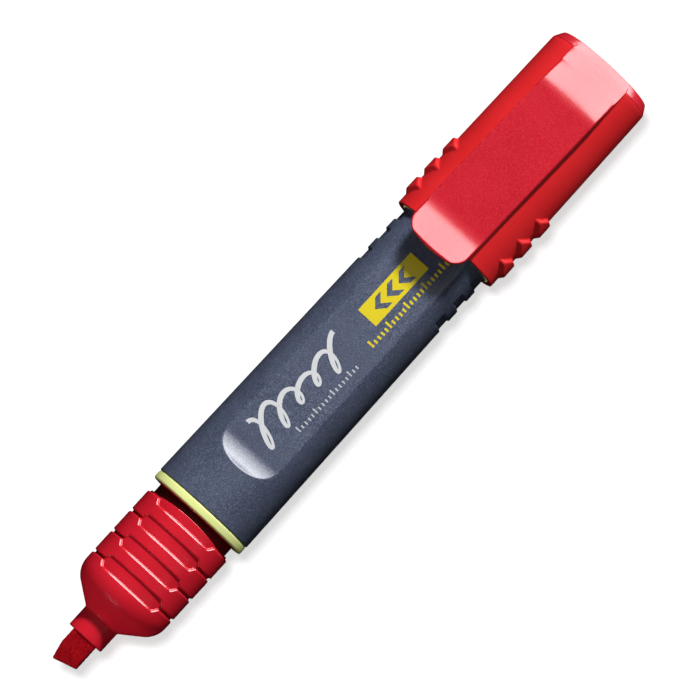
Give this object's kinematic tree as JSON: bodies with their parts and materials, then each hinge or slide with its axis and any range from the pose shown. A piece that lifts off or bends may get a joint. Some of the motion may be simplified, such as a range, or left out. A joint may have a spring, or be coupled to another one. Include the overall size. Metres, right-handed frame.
{
  "type": "felt tip marker",
  "caption": "Chunky chisel-tip felt marker with a ribbed nose, a barrel with flat scooped panels and a clip cap pushed onto the tail.",
  "frame": {"origin": "under the middle of the marker's length, on the plane of the flat on the cap's back", "axes": "+X along the marker towards the cap's closed end, -X the way the nib points, +Z the side of the clip"},
  "size_m": [0.1538, 0.0254, 0.0272],
  "materials": {
    "felt": "ink-soaked felt",
    "grip_plastic": "satin moulded",
    "collar_plastic": "satin moulded",
    "barrel_plastic": "fine matte grain",
    "ink_fibre": "ink-soaked fibre",
    "wrap_film": "thin clear film",
    "plug_plastic": "satin moulded",
    "cap_plastic": "semi-gloss moulded",
    "liner_plastic": "natural soft plastic",
    "label_ink": "printed ink"
  },
  "bodies": {
    "marker": {"nib": "felt", "front_section": "grip_plastic", "front_collar": "collar_plastic", "barrel": "barrel_plastic", "reservoir_core": "ink_fibre", "reservoir_wrap": "wrap_film", "rear_collar": "collar_plastic", "tail_plug": "plug_plastic"},
    "cap": {"cap_shell": "cap_plastic", "cap_liner": "liner_plastic", "crown": "cap_plastic"},
    "clip": {"clip": "cap_plastic"}
  },
  "joints": [
    {"name": "cap_pull", "type": "slide", "parent": "marker", "child": "cap", "axis": [1, 0, 0], "range_m": [0, 0.03]},
    {"name": "clip_flex", "type": "hinge", "parent": "cap", "child": "clip", "pos_m": [0.07129, 0, 0.0237], "axis": [0, 1, 0], "range_deg": [0, 4], "stiffness_Nm_per_rad": 0.1}
  ]
}
